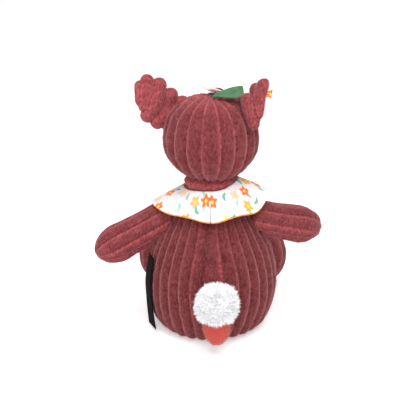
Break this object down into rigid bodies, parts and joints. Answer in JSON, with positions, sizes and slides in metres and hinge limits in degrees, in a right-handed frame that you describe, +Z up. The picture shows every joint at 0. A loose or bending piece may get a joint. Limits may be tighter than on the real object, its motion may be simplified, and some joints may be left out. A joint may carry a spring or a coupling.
{
  "type": "plush deer",
  "caption": "Seated plush deer in wide-wale cord with round ears, a printed cotton collar, a felt flower, stuffed limbs and a pompom tail; its head, ears, limbs and tail move.",
  "frame": {"origin": "middle of the flat seat that the deer sits on", "axes": "+Z up; the deer faces +Y and its left side is -X"},
  "size_m": [0.194, 0.1792, 0.2271],
  "materials": {
    "burgundy_cord": "wide-wale cord plush with a short soft pile",
    "printed_cotton": "plain-weave cotton with a small scattered flower print",
    "orange_lining": "plain-weave cotton",
    "cream_plush": "short plush",
    "pink_felt": "wool felt",
    "green_felt": "wool felt",
    "brown_thread": "satin stitch",
    "coral_velour": "velour",
    "white_pile": "long cut pile",
    "black_ribbon": "satin ribbon",
    "black_plastic": "polished",
    "clear_plastic": "moulded",
    "fibre_filling": "loose fibre",
    "pouch_cotton": "plain-weave cotton"
  },
  "bodies": {
    "torso": {"torso_left_back_panel": "burgundy_cord", "torso_right_back_panel": "burgundy_cord", "torso_belly_panel": "burgundy_cord", "seat_panel": "burgundy_cord", "pellet_pouch": "pouch_cotton", "torso_filling": "fibre_filling", "left_collar": "printed_cotton", "left_collar_lining": "orange_lining", "right_collar": "printed_cotton", "right_collar_lining": "orange_lining"},
    "neck": {"neck_band": "burgundy_cord", "neck_filling": "fibre_filling"},
    "head": {"head_left_panel": "burgundy_cord", "head_right_panel": "burgundy_cord", "head_filling": "fibre_filling", "muzzle": "cream_plush", "nose": "brown_thread", "mouth": "brown_thread", "left_eye": "black_plastic", "right_eye": "black_plastic", "left_eye_washer": "clear_plastic", "right_eye_washer": "clear_plastic", "flower_base": "green_felt", "flower_petals": "pink_felt", "flower_button": "brown_thread", "flower_leaf": "green_felt"},
    "left_ear": {"left_ear_back": "burgundy_cord", "left_ear_lining": "printed_cotton"},
    "right_ear": {"right_ear_back": "burgundy_cord", "right_ear_lining": "printed_cotton"},
    "left_arm": {"left_arm_front_panel": "burgundy_cord", "left_arm_back_panel": "burgundy_cord", "left_arm_filling": "fibre_filling"},
    "right_arm": {"right_arm_front_panel": "burgundy_cord", "right_arm_back_panel": "burgundy_cord", "right_arm_filling": "fibre_filling"},
    "left_leg": {"left_leg_inner_panel": "burgundy_cord", "left_leg_outer_panel": "burgundy_cord", "left_leg_filling": "fibre_filling", "left_sole": "cream_plush"},
    "right_leg": {"right_leg_inner_panel": "burgundy_cord", "right_leg_outer_panel": "burgundy_cord", "right_leg_filling": "fibre_filling", "right_sole": "cream_plush"},
    "tail": {"tail_pompom": "white_pile", "tail_tip": "coral_velour"},
    "label": {"side_label": "black_ribbon"}
  },
  "joints": [
    {"name": "neck_turn", "type": "hinge", "parent": "torso", "child": "neck", "pos_m": [0, 0, 0.122], "axis": [0, 0, 1], "range_deg": [-30, 30], "stiffness_Nm_per_rad": 0.2},
    {"name": "head_nod", "type": "hinge", "parent": "neck", "child": "head", "pos_m": [0, 0.004, 0.1685], "axis": [1, 0, 0], "range_deg": [-15, 15], "stiffness_Nm_per_rad": 0.3},
    {"name": "left_ear_fold", "type": "hinge", "parent": "head", "child": "left_ear", "pos_m": [-0.033, 0.007, 0.19029], "axis": [-0.6101, -0.2465, -0.753], "range_deg": [-12, 30], "stiffness_Nm_per_rad": 0.03},
    {"name": "right_ear_fold", "type": "hinge", "parent": "head", "child": "right_ear", "pos_m": [0.028, 0.004, 0.19533], "axis": [-0.0597, 0.6822, 0.7288], "range_deg": [-12, 30], "stiffness_Nm_per_rad": 0.03},
    {"name": "left_arm_swing", "type": "hinge", "parent": "torso", "child": "left_arm", "pos_m": [-0.03928, 0, 0.0985], "axis": [0, 0, -1], "range_deg": [-15, 35], "stiffness_Nm_per_rad": 0.05},
    {"name": "right_arm_swing", "type": "hinge", "parent": "torso", "child": "right_arm", "pos_m": [0.03928, 0, 0.0985], "axis": [0, 0, 1], "range_deg": [-15, 35], "stiffness_Nm_per_rad": 0.05},
    {"name": "left_leg_raise", "type": "hinge", "parent": "torso", "child": "left_leg", "pos_m": [-0.029, 0.04395, 0.0246], "axis": [1, 0, 0], "range_deg": [0, 30]},
    {"name": "right_leg_raise", "type": "hinge", "parent": "torso", "child": "right_leg", "pos_m": [0.029, 0.04395, 0.0246], "axis": [1, 0, 0], "range_deg": [0, 30]},
    {"name": "tail_lift", "type": "hinge", "parent": "torso", "child": "tail", "pos_m": [0.005, -0.05644, 0.058], "axis": [-1, 0, 0], "range_deg": [0, 45]},
    {"name": "label_swing", "type": "hinge", "parent": "torso", "child": "label", "pos_m": [-0.05221, -0.01696, 0.0685], "axis": [-0.309, 0.9511, 0], "range_deg": [0, 50]}
  ]
}
